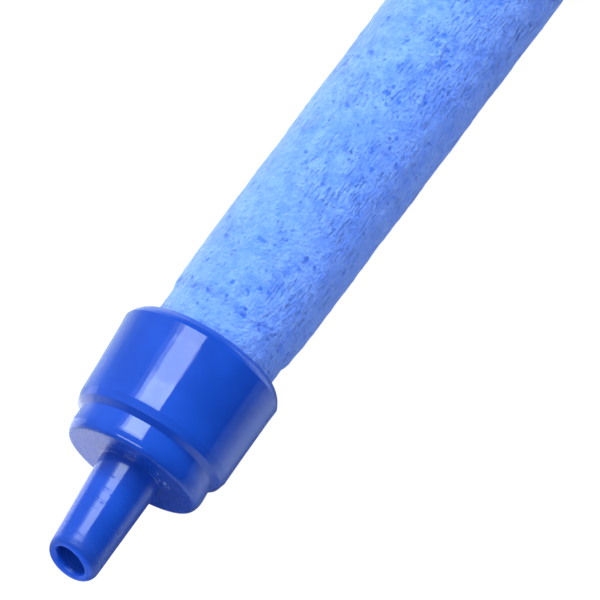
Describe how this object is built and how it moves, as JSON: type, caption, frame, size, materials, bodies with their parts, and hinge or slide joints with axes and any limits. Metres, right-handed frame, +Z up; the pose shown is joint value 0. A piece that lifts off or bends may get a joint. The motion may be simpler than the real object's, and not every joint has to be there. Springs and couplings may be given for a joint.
{
  "type": "air stone",
  "caption": "Cylindrical porous air stone bar with a stepped plastic cap glued on each end, one cap with a tapered nipple for a thin air hose.",
  "frame": {"origin": "on the surface that the bar lies on, under the middle of the whole part's box", "axes": "X along the stone bar with the inlet cap at -X, +Z up, Y across the bar"},
  "size_m": [0.1648, 0.015, 0.0149],
  "materials": {
    "porous_stone": "sintered blue mineral grains, matt and slightly rough, with dark blue pores",
    "cap_plastic": "smooth moulded royal blue, glossy",
    "adhesive": "cured blue-tinted adhesive, satin"
  },
  "bodies": {
    "root": {"stone_tube": "porous_stone", "inlet_cap": "cap_plastic", "end_cap": "cap_plastic", "inlet_bond": "adhesive", "end_bond": "adhesive"}
  },
  "joints": []
}
